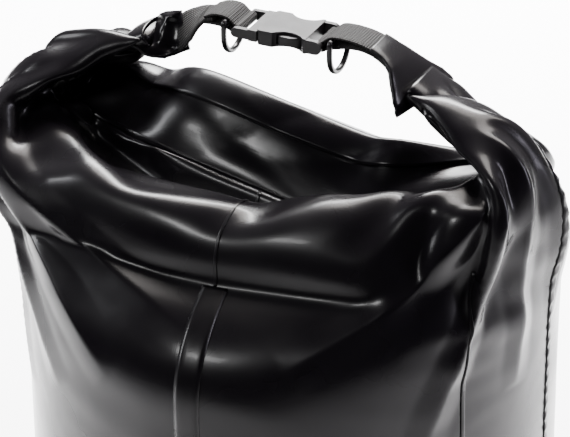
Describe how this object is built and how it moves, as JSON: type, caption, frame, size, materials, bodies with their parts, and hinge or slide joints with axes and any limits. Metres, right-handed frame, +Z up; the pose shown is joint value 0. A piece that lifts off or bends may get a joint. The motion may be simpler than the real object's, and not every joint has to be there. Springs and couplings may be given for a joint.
{
  "type": "dry bag",
  "caption": "Large round roll-top dry bag in glossy coated fabric, closed, with its rolled mouth buckled into a carrying loop and D-rings on the webbing.",
  "frame": {"origin": "middle of the base, on the surface the bag stands on", "axes": "+Z up, +X along the roll and the buckle towards the buckle's female half, -Y front"},
  "size_m": [0.382, 0.378, 0.6089],
  "materials": {
    "coated_fabric": "glossy coated fabric with a very fine weave",
    "seam_tape": "welded tape, slightly duller than the fabric",
    "stiffener": "matt",
    "webbing": "ribbed webbing",
    "thread": "stitched thread",
    "buckle_plastic": "satin moulded plastic",
    "ring_plastic": "semi-gloss moulded plastic"
  },
  "bodies": {
    "bag": {"base_panel": "coated_fabric", "base_welt": "seam_tape", "front_left_panel": "coated_fabric", "front_right_panel": "coated_fabric", "right_side_panel": "coated_fabric", "back_panel": "coated_fabric", "front_seam_tape": "seam_tape", "right_front_seam": "seam_tape", "right_side_seam": "seam_tape", "left_side_seam": "seam_tape", "rolled_mouth": "coated_fabric", "closure_strip_front": "stiffener", "closure_strip_back": "stiffener", "left_sleeve": "coated_fabric", "right_sleeve": "coated_fabric", "left_end_tab": "coated_fabric", "right_end_tab": "coated_fabric", "webbing_left": "webbing", "webbing_right": "webbing", "bartack_left": "thread", "bartack_right": "thread", "buckle_female": "buckle_plastic"},
    "male_half": {"buckle_male": "buckle_plastic"},
    "prong_front_arm": {"prong_front": "buckle_plastic"},
    "prong_back_arm": {"prong_back": "buckle_plastic"},
    "d_ring_left_body": {"d_ring_left": "ring_plastic"},
    "d_ring_right_body": {"d_ring_right": "ring_plastic"}
  },
  "joints": [
    {"name": "male_half_slide", "type": "slide", "parent": "bag", "child": "male_half", "axis": [-1, 0, 0], "range_m": [0, 0.03], "deforming": ["webbing_left", "prong_front", "prong_back"]},
    {"name": "prong_front_press", "type": "hinge", "parent": "male_half", "child": "prong_front_arm", "pos_m": [-0.0159, -0.0096, 0.6], "axis": [0, 0, 1], "range_deg": [0, 6], "stiffness_Nm_per_rad": 0.5},
    {"name": "prong_back_press", "type": "hinge", "parent": "male_half", "child": "prong_back_arm", "pos_m": [-0.0159, 0.0096, 0.6], "axis": [0, 0, -1], "range_deg": [0, 6], "stiffness_Nm_per_rad": 0.5},
    {"name": "d_ring_left_swing", "type": "hinge", "parent": "male_half", "child": "d_ring_left_body", "pos_m": [-0.038, 0, 0.6048], "axis": [0, 1, 0], "range_deg": [-25, 18]},
    {"name": "d_ring_right_swing", "type": "hinge", "parent": "bag", "child": "d_ring_right_body", "pos_m": [0.038, 0, 0.6048], "axis": [0, 1, 0], "range_deg": [-45, 25]}
  ]
}
